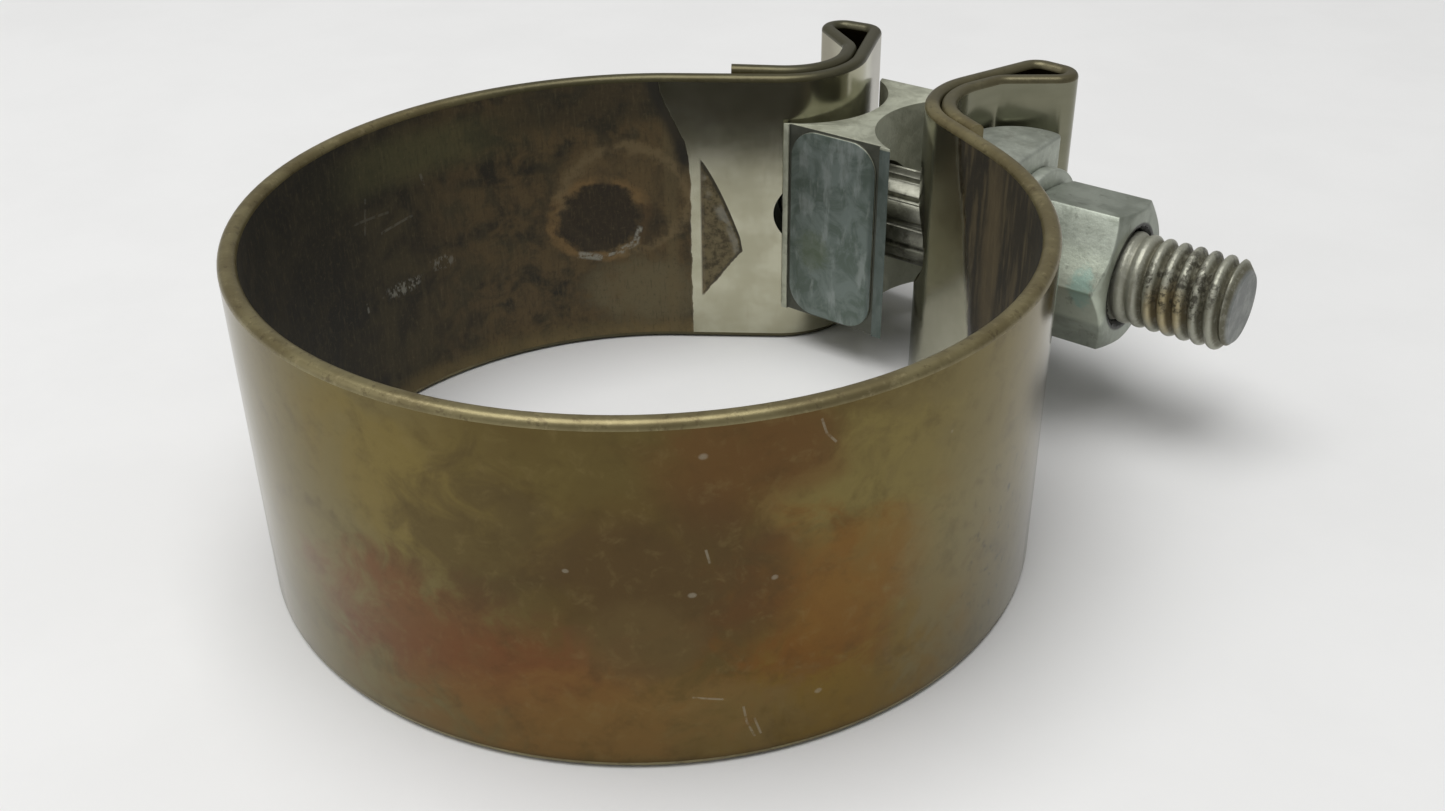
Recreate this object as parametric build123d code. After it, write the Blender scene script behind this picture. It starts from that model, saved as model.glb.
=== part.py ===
from build123d import *
import os
from math import atan2, cos, degrees, radians, sin, sqrt

# Single-bolt flat-band pipe clamp, loosened. Millimetres.
# Origin: on the pipe axis, half way along the strap's width.
# +Z along the pipe, +Y from the pipe axis through the gap, +X towards the nut.

# Strap
PIPE_R = 34.55
STRAP_T = 1.6
STRAP_W = 31.75
LAYER_GAP = 0.1
SEAM_GAP = 0.3

# Ears: the bend that takes the strap outward, and the loop at the tip
BOLT_REACH = 43.2
HEAD_GAP = 5.6
HEAD_FOOT_R = 9.2
HEAD_LEAN = 22.0
HEAD_TAIL = 5.1
NUT_GAP = 4.9
NUT_FOOT_R = 9.9
NUT_LEAN = 19.0
NUT_TAIL = 3.0
TIP_BEND_R = 9.2
EAR_RUN = 9.2
LOOP_CORNER_R = 1.8
LOOP_TOP_RUN = 2.0
LOOP_TOP_HEADING = -6.0
LOOP_BACK_HEADING = -144.0
LOOP_THROAT_R = 3.0
SLOT_W = 11.2
SLOT_LOW = 34.7
SLOT_HIGH = 49.4
SLOT_DEPTH = 13.2
WELD_R = 1.5
WELD_Z = 10.5
WELD_BACK = 1.9

# Bolt, nut and washer: 3/8 in size
BOLT_R = 4.7625
BOLT_LEN = 57.9
BOLT_CHAMFER = 0.9
HEX_FLATS = 14.2875
HEX_CHAMFER = 0.7
HEX_TURN = -6.8
HEAD_T = 6.0
SPLINE_R = 5.05
SPLINE_DEPTH = 0.55
SPLINE_COUNT = 12
SPLINE_LEN = 24.5
NUT_LEN = 10.2
NUT_BORE_R = 4.85
NUT_SINK = 0.5
WASHER_R = 8.9
WASHER_T = 1.6
WASHER_BORE_R = 5.15

# D-section bars
BAR_R = 6.3
BAR_FLAT = 2.1
BAR_H = 22.0
BAR_BORE_R = 5.25
BAR_CLEARANCE = 0.2

# Spacer block
SPACER_X = -2.5
SPACER_INNER_W = 13.5
SPACER_OUTER_W = 11.6
SPACER_H = 22.4
SPACER_DROP = 0.3
SPACER_LOW = 34.9
SPACER_HIGH = 53.6
SPACER_WAIST = 1.9
SPACER_WAIST_Y = 44.2
SPACER_SIDE_R = 10.2
SPACER_BORE_R = 5.45
SPACER_HEAD_LIP = 0.9
SPACER_NUT_LIP = 1.3
SPACER_GROOVE = 0.4
SPACER_RECESS = 0.35
SPACER_CORNER_R = 3.2
SPACER_PANEL_INSET = 0.3

RING_R = PIPE_R + STRAP_T / 2
LAYER_STEP = STRAP_T + LAYER_GAP
BAR_OFFSET = STRAP_T + LAYER_STEP + BAR_CLEARANCE + BAR_R
HEAD_BAR_X = -HEAD_GAP - BAR_OFFSET
NUT_BAR_X = NUT_GAP + BAR_OFFSET
HEAD_X = HEAD_BAR_X - BAR_FLAT
WASHER_X = NUT_BAR_X + BAR_FLAT
NUT_X = WASHER_X + WASHER_T


def direction(heading):
    """Unit vector at an angle in degrees from +X."""
    return cos(radians(heading)), sin(radians(heading))


def bend_end(x, y, heading, radius, turn):
    """Where a bend ends: positive turn is anticlockwise."""
    side = 1 if turn > 0 else -1
    nx, ny = direction(heading + 90 * side)
    ex, ey = direction(heading + turn - 90 * side)
    return x + radius * (nx + ex), y + radius * (ny + ey)


class StrapPath:
    """A strap's centre line, as straight runs and bends that join smoothly."""

    def __init__(self, x, y, heading):
        self.x, self.y, self.heading = x, y, heading
        self.legs = []

    def run(self, length):
        dx, dy = direction(self.heading)
        end = (self.x + length * dx, self.y + length * dy)
        self._add(end, end, self.heading)

    def bend(self, radius, turn):
        middle = bend_end(self.x, self.y, self.heading, radius, turn / 2)
        end = bend_end(self.x, self.y, self.heading, radius, turn)
        self._add(middle, end, self.heading + turn)

    def _add(self, middle, end, heading):
        middle_heading = (self.heading + heading) / 2
        start = (self.x, self.y, self.heading)
        self.legs.append((start, (*middle, middle_heading), (*end, heading)))
        self.x, self.y, self.heading = *end, heading

    def outline(self, half_thickness):
        """Both faces of the strap and its two cut ends, as edges."""
        edges = []
        ends = []
        for side in (half_thickness, -half_thickness):
            shifted = [[shift(point, side) for point in leg] for leg in self.legs]
            for (start, middle, end), leg in zip(shifted, self.legs):
                if leg[0][2] == leg[2][2]:
                    edges.append(Line(start, end))
                else:
                    edges.append(ThreePointArc(start, middle, end))
            ends.append((shifted[0][0], shifted[-1][2]))
        edges.append(Line(ends[0][0], ends[1][0]))
        edges.append(Line(ends[0][1], ends[1][1]))
        return edges


def shift(point, distance):
    """Move a point of a strap's centre line sideways, to the left if positive."""
    x, y, heading = point
    nx, ny = direction(heading + 90)
    return x + distance * nx, y + distance * ny


def two_runs(dx, dy, first_heading, second_heading):
    """Lengths of two runs at given headings that add up to a displacement."""
    ax, ay = direction(first_heading)
    bx, by = direction(second_heading)
    area = ax * by - ay * bx
    return (dx * by - dy * bx) / area, (ax * dy - ay * dx) / area


def ear_path(half_gap, foot_r, lean, tail):
    """Centre line of the half strap on the +X side, from the back round to its tail."""
    seam = degrees(SEAM_GAP / 2 / RING_R)
    start = direction(seam - 90)
    path = StrapPath(RING_R * start[0], RING_R * start[1], seam)
    bend_x = half_gap + STRAP_T / 2 + foot_r
    foot_run = sqrt(bend_x ** 2 + BOLT_REACH ** 2 - (RING_R + foot_r) ** 2)
    leave = degrees(atan2(BOLT_REACH, bend_x) - atan2(foot_run, RING_R + foot_r))
    path.bend(RING_R, leave + 90 - seam)
    path.run(foot_run)
    path.bend(foot_r, -leave)
    path.bend(TIP_BEND_R, -lean)
    neck = (path.x, path.y, path.heading)
    path.run(EAR_RUN)
    path.bend(LOOP_CORNER_R, LOOP_TOP_HEADING - path.heading)
    path.run(LOOP_TOP_RUN)
    path.bend(LOOP_CORNER_R, LOOP_BACK_HEADING - path.heading)
    return_heading = neck[2] - 180
    throat_turn = return_heading - path.heading
    goal = shift(neck, -LAYER_STEP)
    throat = bend_end(path.x, path.y, path.heading, LOOP_THROAT_R, throat_turn)
    back_run, lap_run = two_runs(
        goal[0] - throat[0], goal[1] - throat[1], path.heading, return_heading)
    path.run(back_run)
    path.bend(LOOP_THROAT_R, throat_turn)
    path.run(lap_run)
    path.bend(TIP_BEND_R - LAYER_STEP, lean)
    path.bend(foot_r - LAYER_STEP, leave)
    path.run(tail)
    return path


def half_strap(half_gap, foot_r, lean, tail):
    """Half of the strap, on the +X side, with its looped ear."""
    path = ear_path(half_gap, foot_r, lean, tail)
    face = make_face(path.outline(STRAP_T / 2))
    solid = extrude(face, STRAP_W / 2, both=True)
    slot = SlotCenterToCenter(SLOT_HIGH - SLOT_LOW - SLOT_W, SLOT_W)
    slot_y = (SLOT_HIGH + SLOT_LOW) / 2
    slot_plane = Plane((0, slot_y, 0), x_dir=(0, 1, 0), z_dir=(1, 0, 0))
    solid -= extrude(slot_plane * slot, SLOT_DEPTH)
    back = direction(path.heading + 180)
    inward = direction(path.heading - 90)
    for z in (-WELD_Z, WELD_Z):
        base = (
            path.x + WELD_BACK * back[0],
            path.y + WELD_BACK * back[1],
            z)
        nugget = Plane(base, z_dir=(*inward, 0)) * Circle(WELD_R)
        solid += extrude(nugget, LAYER_STEP)
    return solid


def axis_plane(x):
    """Plane across the bolt axis at x, with its own X along +Y."""
    return Plane((x, BOLT_REACH, 0), x_dir=(0, 1, 0), z_dir=(1, 0, 0))


def rod(radius, start, end):
    """Round bar along the bolt axis."""
    return extrude(axis_plane(start) * Circle(radius), end - start)


def hexagon(start, end):
    """Hexagonal prism along the bolt axis, both ends chamfered to a circle."""
    corner_r = HEX_FLATS / 2 / cos(radians(30))
    outline = RegularPolygon(corner_r, 6, rotation=HEX_TURN)
    prism = extrude(axis_plane(start) * outline, end - start)
    flat_r = HEX_FLATS / 2
    barrel = rod(corner_r + HEX_CHAMFER, start, end)
    for x, inward in ((start, 1), (end, -1)):
        profile = make_face(Polyline(
            (x - inward, BOLT_REACH + flat_r - 2, 0),
            (x - inward, BOLT_REACH + corner_r + 2, 0),
            (x + inward * HEX_CHAMFER, BOLT_REACH + corner_r + 2, 0),
            (x + inward * HEX_CHAMFER, BOLT_REACH + corner_r + 0.05, 0),
            (x, BOLT_REACH + flat_r - 0.1, 0),
            (x - inward, BOLT_REACH + flat_r - 0.1, 0),
            close=True))
        barrel -= revolve(profile, Axis((0, BOLT_REACH, 0), (1, 0, 0)))
    return prism & barrel


def bolt():
    """Hex-headed bolt with a splined shank under its head."""
    tip = HEAD_X + BOLT_LEN
    spline_end = HEAD_X + SPLINE_LEN
    shank = rod(SPLINE_R, HEAD_X, spline_end)
    groove = Polyline(
        (SPLINE_R - SPLINE_DEPTH, 0),
        (SPLINE_R + 0.2, SPLINE_DEPTH),
        (SPLINE_R + 0.2, -SPLINE_DEPTH),
        close=True)
    for turn in range(SPLINE_COUNT):
        mark = Rot(Z=turn * 360 / SPLINE_COUNT) * make_face(groove)
        shank -= extrude(axis_plane(HEAD_X + 1) * mark, SPLINE_LEN)
    threaded = rod(BOLT_R, spline_end, tip)
    threaded = chamfer(threaded.faces().sort_by(Axis.X)[-1].edges(), BOLT_CHAMFER)
    return hexagon(HEAD_X - HEAD_T, HEAD_X) + shank + threaded


def bar(centre_x, face_x):
    """D-section bar: round towards the ear, flat towards the head or nut."""
    outward = 1 if face_x > centre_x else -1
    section = Pos(centre_x, BOLT_REACH) * Circle(BAR_R)
    keep = Pos(face_x - outward * BAR_R, BOLT_REACH) * Rectangle(2 * BAR_R, 3 * BAR_R)
    solid = extrude(section & keep, BAR_H / 2, both=True)
    return solid - rod(BAR_BORE_R, centre_x - 2 * BAR_R, centre_x + 2 * BAR_R)


def spacer():
    """Waisted block between the ears, with a sunk frame round a panel on its inner face."""
    plan = make_face(Polyline(
        (SPACER_X - SPACER_INNER_W / 2, SPACER_LOW),
        (SPACER_X + SPACER_INNER_W / 2, SPACER_LOW),
        (SPACER_X + SPACER_OUTER_W / 2, SPACER_HIGH),
        (SPACER_X - SPACER_OUTER_W / 2, SPACER_HIGH),
        close=True))
    for side in (-1, 1):
        hollow_x = SPACER_X + side * (SPACER_WAIST / 2 + SPACER_SIDE_R)
        plan -= Pos(hollow_x, SPACER_WAIST_Y) * Circle(SPACER_SIDE_R)
    solid = Pos(Z=-SPACER_DROP) * extrude(plan, SPACER_H / 2, both=True)
    middle_x = SPACER_X + (SPACER_HEAD_LIP - SPACER_NUT_LIP) / 2
    sunk_w = SPACER_INNER_W - SPACER_HEAD_LIP - SPACER_NUT_LIP
    face = Plane((middle_x, SPACER_LOW, -SPACER_DROP), x_dir=(1, 0, 0), z_dir=(0, -1, 0))
    panel_w = sunk_w - 2 * SPACER_GROOVE
    panel_h = SPACER_H - 2 * SPACER_PANEL_INSET
    sunk = Rectangle(sunk_w, SPACER_H) - RectangleRounded(panel_w, panel_h, SPACER_CORNER_R)
    solid -= extrude(face * sunk, -SPACER_RECESS)
    return solid - rod(SPACER_BORE_R, SPACER_X - SPACER_INNER_W, SPACER_X + SPACER_INNER_W)


def washer():
    """Flat washer between the nut-side bar and the nut."""
    disc = rod(WASHER_R, WASHER_X, WASHER_X + WASHER_T)
    return disc - rod(WASHER_BORE_R, WASHER_X - 1, WASHER_X + WASHER_T + 1)


def nut():
    """Long hex nut, countersunk at both ends of its bore."""
    end = NUT_X + NUT_LEN
    profile = make_face(Polyline(
        (NUT_X, BOLT_REACH),
        (NUT_X, BOLT_REACH + NUT_BORE_R + NUT_SINK),
        (NUT_X + NUT_SINK, BOLT_REACH + NUT_BORE_R),
        (end - NUT_SINK, BOLT_REACH + NUT_BORE_R),
        (end, BOLT_REACH + NUT_BORE_R + NUT_SINK),
        (end, BOLT_REACH),
        close=True))
    return hexagon(NUT_X, end) - revolve(profile, Axis((0, BOLT_REACH, 0), (1, 0, 0)))


parts = {
    "band_nut_side": half_strap(NUT_GAP, NUT_FOOT_R, NUT_LEAN, NUT_TAIL),
    "band_head_side": mirror(half_strap(HEAD_GAP, HEAD_FOOT_R, HEAD_LEAN, HEAD_TAIL), about=Plane.YZ),
    "bolt": bolt(),
    "head_bar": bar(HEAD_BAR_X, HEAD_X),
    "nut_bar": bar(NUT_BAR_X, WASHER_X),
    "spacer": spacer(),
    "washer": washer(),
    "nut": nut(),
}

os.makedirs("parts", exist_ok=True)
for name, shape in parts.items():
    export_step(shape, f"parts/{name}.step")
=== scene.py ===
"""Looks for a single-bolt flat-band pipe clamp, loosened and lying on its edge. Metres, in the CAD's frame:
+Z along the pipe, +Y through the gap between the ears, +X towards the nut."""

from math import atan2, ceil, cos, hypot, pi, radians, sin, sqrt

import bmesh
import bpy
from mathutils import Matrix, Vector


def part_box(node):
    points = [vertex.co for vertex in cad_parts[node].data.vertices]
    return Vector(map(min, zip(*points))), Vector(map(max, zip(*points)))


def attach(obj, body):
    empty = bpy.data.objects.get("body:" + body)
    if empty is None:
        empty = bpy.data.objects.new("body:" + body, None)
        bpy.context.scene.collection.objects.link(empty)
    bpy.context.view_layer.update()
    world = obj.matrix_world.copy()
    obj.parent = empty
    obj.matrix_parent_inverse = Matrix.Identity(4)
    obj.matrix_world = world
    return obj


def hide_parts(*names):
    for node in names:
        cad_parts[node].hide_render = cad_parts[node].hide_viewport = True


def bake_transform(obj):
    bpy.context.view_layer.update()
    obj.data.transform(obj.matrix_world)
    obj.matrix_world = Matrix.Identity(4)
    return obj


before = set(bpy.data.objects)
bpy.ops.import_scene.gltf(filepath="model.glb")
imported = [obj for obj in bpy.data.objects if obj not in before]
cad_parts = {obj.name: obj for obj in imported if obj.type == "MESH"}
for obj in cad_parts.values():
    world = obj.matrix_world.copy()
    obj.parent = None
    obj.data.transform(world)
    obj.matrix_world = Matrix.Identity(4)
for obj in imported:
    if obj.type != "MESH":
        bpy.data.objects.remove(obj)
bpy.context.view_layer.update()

MM = 0.001

# ---------------------------------------------------------------- sizes

# From the frame
strap_low, strap_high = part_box("band_nut_side")
bolt_low, bolt_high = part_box("bolt")
nut_low, nut_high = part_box("nut")
washer_low, washer_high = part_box("washer")
head_bar_low, head_bar_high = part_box("head_bar")
nut_bar_low, nut_bar_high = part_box("nut_bar")
spacer_low, spacer_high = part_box("spacer")

FLOOR_Z = strap_low[2]
STRAP_W = strap_high[2] - strap_low[2]
BOLT_Y = (bolt_low[1] + bolt_high[1]) / 2

# Strap: the same driving dimensions as the CAD
STRAP_T = 1.6 * MM
RING_R = -strap_low[1] - STRAP_T / 2
LAYER_STEP = STRAP_T + 0.1 * MM
STRAP_EDGE_R = 0.65 * MM
TIP_BEND_R = 9.2 * MM
EAR_RUN = 9.2 * MM
LOOP_CORNER_R = 1.8 * MM
LOOP_TOP_RUN = 2.0 * MM
LOOP_TOP_HEADING = radians(-6)
LOOP_BACK_HEADING = radians(-144)
LOOP_THROAT_R = 3.0 * MM
LAP_LEN = 22 * MM
TAIL_RISE = 0.5 * MM
HEAD_EAR = {"half_gap": 5.6 * MM, "foot_r": 9.2 * MM, "lean": radians(22), "tail": 5.1 * MM}
NUT_EAR = {"half_gap": 4.9 * MM, "foot_r": 9.9 * MM, "lean": radians(19), "tail": 3.0 * MM}
SLOT_W = 11.2 * MM
SLOT_LOW, SLOT_HIGH = 34.7 * MM, 49.4 * MM
SLOT_DEPTH = 13.2 * MM
FLEX_ANGLE = radians(48)
ARC_STEP = radians(2.5)
ROUND_STEPS = 96
SHARP_ANGLE = 32

# Bolt, nut and washer
THREAD_R = 4.7625 * MM
THREAD_PITCH = 1.5875 * MM
THREAD_DEPTH = 0.85 * MM
THREAD_FADE = 0.35
THREAD_FADE_RUN = 3.5 * MM
THREAD_STEPS = 60
TIP_R = 3.6 * MM
TIP_SLOPE = 1.15
SPLINE_R = 5.05 * MM
SPLINE_DEPTH = 0.55 * MM
SPLINE_COUNT = 12
SPLINE_LEN = 24.5 * MM
HEX_FLATS = 14.2875 * MM
HEX_TURN = radians(-6.8)
HEX_CORNER_R = HEX_FLATS / 2 / cos(pi / 6)
HEX_CHAMFER_SLOPE = 0.6
HEAD_T = 6.0 * MM
NUT_BORE_R = 4.85 * MM
WASHER_BORE_R = 5.15 * MM
BAR_BORE_R = 5.25 * MM
SPACER_BORE_R = 5.45 * MM
SPACER_WAIST = 1.9 * MM
SPACER_WAIST_Y = 44.2 * MM
SPACER_SIDE_R = 10.2 * MM
SPACER_OUTER_W = 11.6 * MM

HEAD_X = bolt_low[0] + HEAD_T
SPLINE_END_X = HEAD_X + SPLINE_LEN


# ---------------------------------------------------------------- mesh tools

def make_object(name, mesh):
    """Link a finished mesh into the scene, smooth but for its sharp edges."""
    piece = bpy.data.objects.new(name, mesh)
    bpy.context.collection.objects.link(piece)
    mesh.shade_smooth()
    mesh.set_sharp_from_angle(angle=radians(SHARP_ANGLE))
    return piece


def mesh_from(name, points, faces):
    """A mesh with merged points and outward normals."""
    mesh = bpy.data.meshes.new(name)
    mesh.from_pydata([tuple(p) for p in points], [], faces)
    shape = bmesh.new()
    shape.from_mesh(mesh)
    bmesh.ops.remove_doubles(shape, verts=shape.verts, dist=1e-6)
    bmesh.ops.recalc_face_normals(shape, faces=shape.faces)
    shape.to_mesh(mesh)
    shape.free()
    return mesh


def paint(mesh, *materials):
    """Give a mesh these materials and no other."""
    mesh.materials.clear()
    for material in materials:
        mesh.materials.append(material)


def finish_piece(piece, material, body, slot, *nodes):
    """Give a piece its material, the body it rides on, and the CAD nodes it stands for, if any."""
    paint(piece.data, material)
    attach(piece, body)
    if nodes:
        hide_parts(*nodes)


def apply_modifiers(piece):
    """Bake an object's modifiers into its mesh."""
    bpy.context.view_layer.update()
    evaluated = piece.evaluated_get(bpy.context.evaluated_depsgraph_get())
    mesh = bpy.data.meshes.new_from_object(evaluated)
    piece.modifiers.clear()
    piece.data = mesh
    mesh.set_sharp_from_angle(angle=radians(SHARP_ANGLE))
    return piece


def combine(piece, other, operation):
    """Boolean of two closed meshes. The other one is used up."""
    step = piece.modifiers.new("combine", "BOOLEAN")
    step.object = other
    step.operation = operation
    step.solver = "EXACT"
    apply_modifiers(piece)
    bpy.data.objects.remove(other)
    return piece


def soften(piece, width, segments=3, angle=SHARP_ANGLE):
    """Round a mesh's sharp edges."""
    step = piece.modifiers.new("soften", "BEVEL")
    step.width = width
    step.segments = segments
    step.limit_method = "ANGLE"
    step.angle_limit = radians(angle)
    return apply_modifiers(piece)


def prism(name, outline, low, high, place):
    """A flat outline pushed from low to high. place(u, v, w) puts a point into the frame."""
    count = len(outline)
    points = [place(u, v, w) for w in (low, high) for u, v in outline]
    faces = [(i, (i + 1) % count, count + (i + 1) % count, count + i) for i in range(count)]
    faces += [tuple(range(count)), tuple(range(count, 2 * count))]
    return make_object(name, mesh_from(name, points, faces))


def along_x(u, v, w):
    return w, u, v


def along_y(u, v, w):
    return u, w, v


def along_z(u, v, w):
    return u, v, w


def along_bolt(u, v, w):
    """u towards +Y and v along +Z from the bolt axis, w along the bolt."""
    return w, BOLT_Y + u, v


def turned(name, profile):
    """A closed profile of (x, radius) points turned about the bolt axis."""
    points = []
    for i in range(ROUND_STEPS):
        angle = 2 * pi * i / ROUND_STEPS
        points += [along_bolt(r * cos(angle), r * sin(angle), x) for x, r in profile]
    count = len(profile)
    total = count * ROUND_STEPS
    faces = []
    for i in range(ROUND_STEPS):
        for j in range(count):
            a = i * count + j
            b = i * count + (j + 1) % count
            faces.append((a, b, (b + count) % total, (a + count) % total))
    return make_object(name, mesh_from(name, points, faces))


def rod(name, radius, start, end):
    """A plain round bar along the bolt axis, for cutting holes."""
    angles = [2 * pi * i / ROUND_STEPS for i in range(ROUND_STEPS)]
    outline = [(radius * cos(a), radius * sin(a)) for a in angles]
    return prism(name, outline, start, end, along_bolt)


def arc(centre_x, centre_y, radius, start, end, step=ARC_STEP):
    """Points on an arc, its ends included."""
    count = max(2, ceil(abs(end - start) / step))
    angles = [start + (end - start) * i / count for i in range(count + 1)]
    return [(centre_x + radius * cos(a), centre_y + radius * sin(a)) for a in angles]


# ---------------------------------------------------------------- strap

def bend_end(x, y, heading, radius, turn):
    """Where a bend ends: positive turn is anticlockwise."""
    side = 1 if turn > 0 else -1
    before = heading + side * pi / 2
    after = heading + turn - side * pi / 2
    return x + radius * (cos(before) + cos(after)), y + radius * (sin(before) + sin(after))


class StrapPath:
    """Points (x, y, heading) along a strap's centre line, made of runs and bends."""

    def __init__(self, x, y, heading):
        self.points = [(x, y, heading)]

    def run(self, length):
        x, y, heading = self.points[-1]
        self.points.append((x + length * cos(heading), y + length * sin(heading), heading))

    def bend(self, radius, turn):
        start = self.points[-1]
        count = max(3, ceil(abs(turn) / ARC_STEP))
        for i in range(1, count + 1):
            part = turn * i / count
            self.points.append((*bend_end(*start, radius, part), start[2] + part))


def two_runs(dx, dy, first_heading, second_heading):
    """Lengths of two runs at given headings that add up to a displacement."""
    ax, ay = cos(first_heading), sin(first_heading)
    bx, by = cos(second_heading), sin(second_heading)
    area = ax * by - ay * bx
    return (dx * by - dy * bx) / area, (ax * dy - ay * dx) / area


def ear_path(half_gap, foot_r, lean, tail):
    """Centre line of the strap on the +X side, from the end of the back piece to its tail."""
    start = FLEX_ANGLE - pi / 2
    path = StrapPath(RING_R * cos(start), RING_R * sin(start), FLEX_ANGLE)
    bend_x = half_gap + STRAP_T / 2 + foot_r
    foot_run = sqrt(bend_x ** 2 + BOLT_Y ** 2 - (RING_R + foot_r) ** 2)
    leave = atan2(BOLT_Y, bend_x) - atan2(foot_run, RING_R + foot_r)
    path.bend(RING_R, leave + pi / 2 - FLEX_ANGLE)
    path.run(foot_run)
    path.bend(foot_r, -leave)
    path.bend(TIP_BEND_R, -lean)
    neck_x, neck_y, neck = path.points[-1]
    path.run(EAR_RUN)
    path.bend(LOOP_CORNER_R, LOOP_TOP_HEADING - neck)
    path.run(LOOP_TOP_RUN)
    path.bend(LOOP_CORNER_R, LOOP_BACK_HEADING - LOOP_TOP_HEADING)
    x, y, back = path.points[-1]
    throat_turn = neck - pi - back
    throat = bend_end(x, y, back, LOOP_THROAT_R, throat_turn)
    goal = (neck_x + LAYER_STEP * sin(neck), neck_y - LAYER_STEP * cos(neck))
    back_run, lap_run = two_runs(goal[0] - throat[0], goal[1] - throat[1], back, neck - pi)
    path.run(back_run)
    path.bend(LOOP_THROAT_R, throat_turn)
    path.run(lap_run)
    path.bend(TIP_BEND_R - LAYER_STEP, lean)
    path.bend(foot_r - LAYER_STEP, leave)
    path.run(tail)
    return path.points


def strap_section():
    """Outline of the strap's section as (offset to the left, z), with rounded edges."""
    reach_t = STRAP_T / 2 - STRAP_EDGE_R
    reach_z = STRAP_W / 2 - STRAP_EDGE_R
    outline = []
    for corner, (side_t, side_z) in enumerate(((1, 1), (-1, 1), (-1, -1), (1, -1))):
        start = corner * pi / 2
        outline += arc(side_t * reach_t, side_z * reach_z, STRAP_EDGE_R, start, start + pi / 2, pi / 12)
    return outline


def strap_faces(outline):
    """Which strap face each side of the section belongs to: 0 inner, 1 outer, 2 edge."""
    kinds = []
    for i, (t, z) in enumerate(outline):
        next_z = outline[(i + 1) % len(outline)][1]
        wide = abs(next_z - z) > STRAP_W / 2
        kinds.append((0 if t > 0 else 1) if wide else 2)
    return kinds


def strap_piece(name, path, mirrored=False, tail_rise=0.0):
    """Sweep the strap's section along a path, its tail end lifted a little. Materials: inner, outer, edge."""
    outline = strap_section()
    kinds = strap_faces(outline)
    count = len(outline)
    side = -1 if mirrored else 1
    points = []
    tail_x, tail_y, _ = path[-1]
    for i, (x, y, heading) in enumerate(path):
        near = 1 - hypot(x - tail_x, y - tail_y) / LAP_LEN
        rise = tail_rise * max(0.0, near) if i > len(path) / 2 else 0.0
        for t, z in outline:
            points.append((side * (x - t * sin(heading)), y + t * cos(heading), z + rise))
    faces = []
    face_kinds = []
    for i in range(len(path) - 1):
        for j in range(count):
            a = i * count + j
            b = i * count + (j + 1) % count
            faces.append((a, b, b + count, a + count))
            face_kinds.append(kinds[j])
    faces += [tuple(range(count)), tuple(range(len(points) - count, len(points)))]
    face_kinds += [2, 2]
    mesh = mesh_from(name, points, faces)
    paint(mesh, STRAP_INNER, STRAP_OUTER, STRAP_EDGE)
    for polygon, kind in zip(mesh.polygons, face_kinds):
        polygon.material_index = kind
    return make_object(name, mesh)


def cut_slot(piece, side):
    """Cut the bolt's slot through both layers of an ear."""
    radius = SLOT_W / 2
    outline = arc(SLOT_LOW + radius, 0, radius, pi / 2, 3 * pi / 2)
    outline += arc(SLOT_HIGH - radius, 0, radius, -pi / 2, pi / 2)
    cutter = prism("slot", outline, 0, side * SLOT_DEPTH, along_x)
    paint(cutter.data, STRAP_INNER, STRAP_OUTER, STRAP_EDGE)
    for polygon in cutter.data.polygons:
        polygon.material_index = 2
    return combine(piece, cutter, "DIFFERENCE")


def make_strap():
    """The strap: two halves that stay rigid on their bodies, and the back between them."""
    back = StrapPath(-RING_R * sin(FLEX_ANGLE), -RING_R * cos(FLEX_ANGLE), -FLEX_ANGLE)
    back.bend(RING_R, 2 * FLEX_ANGLE)
    flexing = strap_piece("strap_back", back.points)
    nut_side = cut_slot(strap_piece("strap_nut_side", ear_path(**NUT_EAR)), 1)
    head_path = ear_path(**HEAD_EAR)
    head_side = cut_slot(strap_piece("strap_head_side", head_path, mirrored=True, tail_rise=TAIL_RISE), -1)
    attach(nut_side, "nut_half")
    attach(head_side, "head_half")
    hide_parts("band_nut_side")
    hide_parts("band_head_side")
    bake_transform(flexing)


# ---------------------------------------------------------------- bolt, nut and washer

def hexagon(name, start, end, chamfer_start, chamfer_end):
    """A hexagon along the bolt axis whose corners are turned off at its ends."""
    flat_r = HEX_FLATS / 2 - 0.15 * MM
    past_corner = HEX_CORNER_R + 0.05 * MM
    chamfer = (HEX_CORNER_R - flat_r) * HEX_CHAMFER_SLOPE
    profile = [(start, 0), (start, flat_r if chamfer_start else HEX_CORNER_R + MM)]
    if chamfer_start:
        profile.append((start + chamfer, past_corner))
    if chamfer_end:
        profile.append((end - chamfer, past_corner))
    profile += [(end, flat_r if chamfer_end else HEX_CORNER_R + MM), (end, 0)]
    angles = [HEX_TURN + i * pi / 3 for i in range(6)]
    outline = [(HEX_CORNER_R * cos(a), HEX_CORNER_R * sin(a)) for a in angles]
    piece = prism(name, outline, start - MM, end + MM, along_bolt)
    return combine(piece, turned("barrel", profile), "INTERSECT")


def thread_profile():
    """One pitch of a worn rolled thread, as (share of the pitch, radius)."""
    root = THREAD_R - THREAD_DEPTH
    shape = [(0.0, 0.0), (0.07, 0.08), (0.25, 0.68), (0.34, 0.92), (0.43, 1.0),
             (0.57, 1.0), (0.66, 0.92), (0.75, 0.68), (0.93, 0.08)]
    return [(share, root + height * THREAD_DEPTH) for share, height in shape]


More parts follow.
